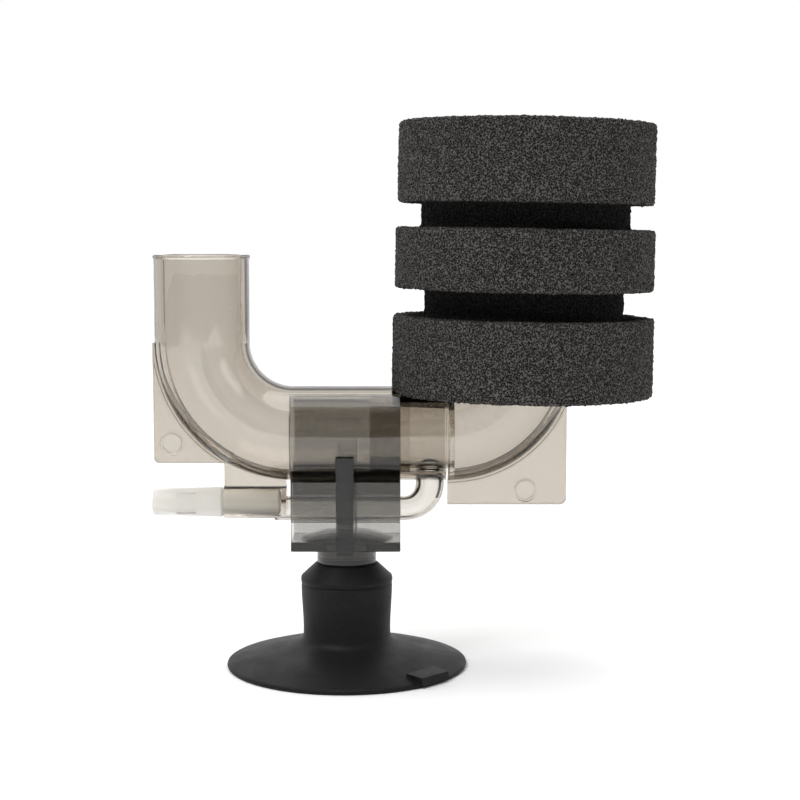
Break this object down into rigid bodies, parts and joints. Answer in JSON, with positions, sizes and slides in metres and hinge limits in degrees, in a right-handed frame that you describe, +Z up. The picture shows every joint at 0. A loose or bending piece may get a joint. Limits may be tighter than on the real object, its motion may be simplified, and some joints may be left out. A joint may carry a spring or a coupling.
{
  "type": "air-driven internal sponge filter",
  "caption": "Clear smoky L-shaped duct with an air line under it, held by a clip on a suction cup; a turning elbow carries a ribbed foam sponge on a slotted strainer.",
  "frame": {"origin": "centre of the bounding box in X and Y, on the plane under the rim of the suction cup", "axes": "+X along the duct from the outlet towards the sponge; +Z up, the way the outlet opens; Y = 0 is the plane where the half shells meet"},
  "size_m": [0.1012, 0.0524, 0.1089],
  "materials": {
    "rubber": "matte",
    "clip_plastic": "gloss",
    "duct_plastic": "gloss",
    "nozzle_plastic": "satin",
    "strainer_plastic": "satin",
    "foam": "matte"
  },
  "bodies": {
    "cup": {"suction_cup": "rubber"},
    "clip": {"clip_bracket": "clip_plastic"},
    "outlet": {"outlet_shell_front": "duct_plastic", "outlet_shell_rear": "duct_plastic"},
    "nozzle": {"air_nozzle": "nozzle_plastic"},
    "elbow": {"inlet_shell_front": "duct_plastic", "inlet_shell_rear": "duct_plastic"},
    "strainer": {"strainer_tube": "strainer_plastic"},
    "sponge": {"sponge": "foam"}
  },
  "joints": [
    {"name": "cup_swivel", "type": "hinge", "parent": "cup", "child": "clip", "pos_m": [-0.0116, 0, 0.02], "axis": [0, 0, 1], "continuous": true},
    {"name": "duct_slide", "type": "slide", "parent": "clip", "child": "outlet", "axis": [1, 0, 0], "range_m": [-0.003, 0.0005]},
    {"name": "nozzle_pull", "type": "slide", "parent": "outlet", "child": "nozzle", "axis": [-1, 0, 0], "range_m": [0, 0.012]},
    {"name": "elbow_turn", "type": "hinge", "parent": "outlet", "child": "elbow", "pos_m": [0, 0, 0.0474], "axis": [1, 0, 0], "range_deg": [-90, 90]},
    {"name": "strainer_pull", "type": "slide", "parent": "elbow", "child": "strainer", "axis": [0, 0, 1], "range_m": [0, 0.008]},
    {"name": "sponge_pull", "type": "slide", "parent": "strainer", "child": "sponge", "axis": [0, 0, 1], "range_m": [0, 0.045]}
  ]
}
